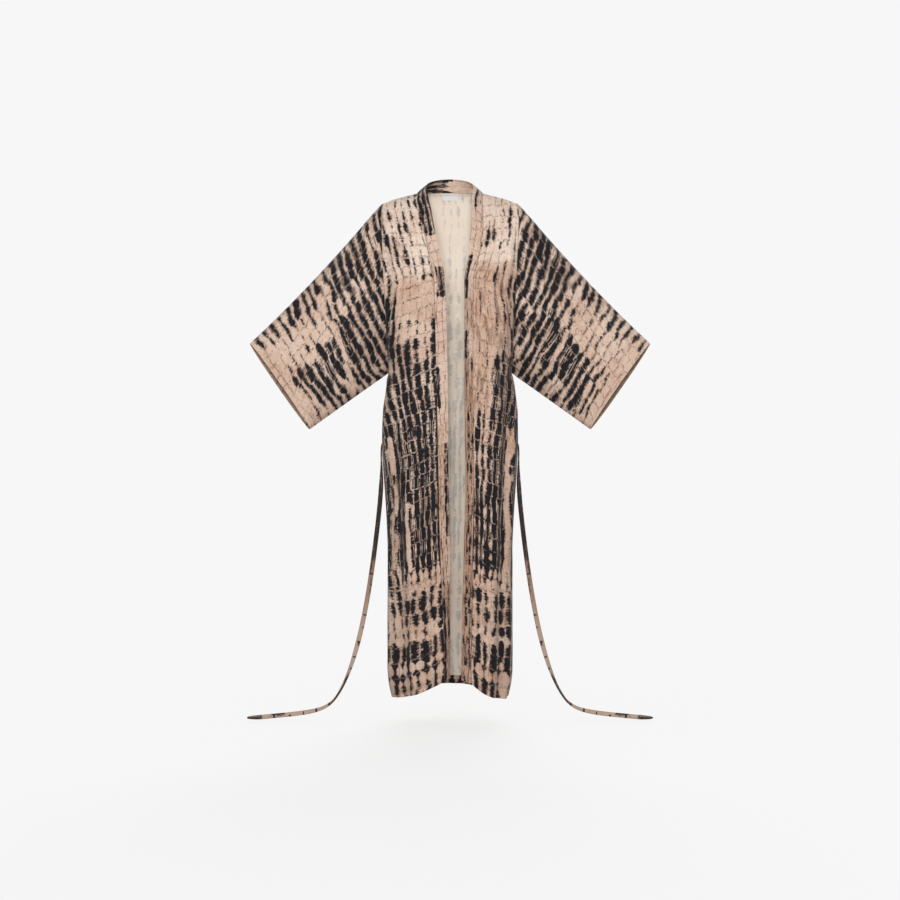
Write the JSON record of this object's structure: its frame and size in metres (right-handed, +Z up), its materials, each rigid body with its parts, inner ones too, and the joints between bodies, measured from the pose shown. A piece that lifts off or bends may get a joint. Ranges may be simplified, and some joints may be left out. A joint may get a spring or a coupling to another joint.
{
  "type": "kimono coat",
  "caption": "Long open kimono coat with wide elbow-length sleeves, a folded neckband from hem to hem and a narrow tie belt, held open as when worn.",
  "frame": {"origin": "middle of the back neck seam, where the coat is held up", "axes": "+Z up along the coat's length, -Y out of the open front, +X to the wearer's left"},
  "size_m": [1.015, 0.2394, 1.3598],
  "materials": {
    "print_cloth": "smooth light satin weave, resist-dyed navy on peach",
    "band_cloth": "the same cloth folded double and pressed",
    "belt_cloth": "the same cloth sewn into a narrow tie",
    "label_cloth": "plain white woven ribbon"
  },
  "bodies": {
    "root": {"front_right": "print_cloth", "front_left": "print_cloth", "back": "print_cloth", "sleeve_right": "print_cloth", "sleeve_left": "print_cloth", "neckband": "band_cloth", "belt_back": "belt_cloth", "belt_end_right": "belt_cloth", "belt_end_left": "belt_cloth", "belt_loop_right": "belt_cloth", "belt_loop_left": "belt_cloth", "neck_label": "label_cloth"}
  },
  "joints": []
}
